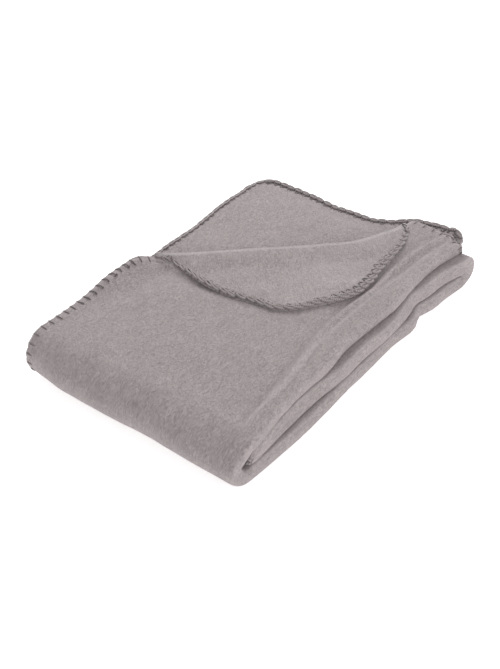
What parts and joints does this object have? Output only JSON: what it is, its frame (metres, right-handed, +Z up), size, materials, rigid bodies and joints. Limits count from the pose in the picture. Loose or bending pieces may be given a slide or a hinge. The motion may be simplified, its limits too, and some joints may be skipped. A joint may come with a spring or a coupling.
{
  "type": "folded throw blanket",
  "caption": "Plain fleece throw blanket, folded lengthwise and then letter-folded into a flat stack, with one corner turned back and overcast yarn edging.",
  "frame": {"origin": "bottom centre of the folded stack, on the surface that it lies on", "axes": "+Z up; +Y along the stack's length, from the front fold to the open end; +X across it, from the hemmed side to the side of the long folds"},
  "size_m": [0.32, 0.5, 0.0684],
  "materials": {
    "fleece": "brushed polyester fleece with a short soft pile, taupe grey",
    "stitching": "plied acrylic yarn, overcast round the edge, darker grey"
  },
  "bodies": {
    "folded_stack": {"back_fold_inner_fold": "fleece", "back_fold_layer_1": "fleece", "back_fold_layer_2": "fleece", "back_fold_layer_3": "fleece", "back_fold_layer_4": "fleece", "back_fold_left_fold": "fleece", "back_fold_outer_fold": "fleece", "back_fold_stitching": "stitching", "bottom_third_inner_fold": "fleece", "bottom_third_layer_1": "fleece", "bottom_third_layer_2": "fleece", "bottom_third_layer_3": "fleece", "bottom_third_layer_4": "fleece", "bottom_third_left_fold": "fleece", "bottom_third_outer_fold": "fleece", "bottom_third_stitching": "stitching", "front_fold_inner_fold": "fleece", "front_fold_layer_1": "fleece", "front_fold_layer_2": "fleece", "front_fold_layer_3": "fleece", "front_fold_layer_4": "fleece", "front_fold_left_fold": "fleece", "front_fold_outer_fold": "fleece", "front_fold_stitching": "stitching", "middle_third_inner_fold": "fleece", "middle_third_layer_1": "fleece", "middle_third_layer_2": "fleece", "middle_third_layer_3": "fleece", "middle_third_layer_4": "fleece", "middle_third_left_fold": "fleece", "middle_third_outer_fold": "fleece", "middle_third_stitching": "stitching"},
    "top_third": {"top_third_inner_fold": "fleece", "top_third_layer_1": "fleece", "top_third_layer_2": "fleece", "top_third_layer_3": "fleece", "top_third_layer_4": "fleece", "top_third_left_fold": "fleece", "top_third_outer_fold": "fleece", "top_third_stitching": "stitching", "turned_corner_fold": "fleece"},
    "turned_corner": {"turned_corner": "fleece", "turned_corner_stitching": "stitching"}
  },
  "joints": [
    {"name": "top_third_opens", "type": "hinge", "parent": "folded_stack", "child": "top_third", "pos_m": [0, -0.25, 0.03155], "axis": [1, 0, 0], "range_deg": [0, 175], "deforming": ["front_fold_inner_fold", "front_fold_layer_1", "front_fold_layer_2", "front_fold_layer_3", "front_fold_layer_4", "front_fold_left_fold", "front_fold_outer_fold", "front_fold_stitching"]},
    {"name": "corner_turns_back", "type": "hinge", "parent": "top_third", "child": "turned_corner", "pos_m": [-0.0232, 0.0952, 0.06335], "axis": [-0.6656, -0.7463, 0], "range_deg": [0, 175], "deforming": ["turned_corner_fold"]}
  ]
}
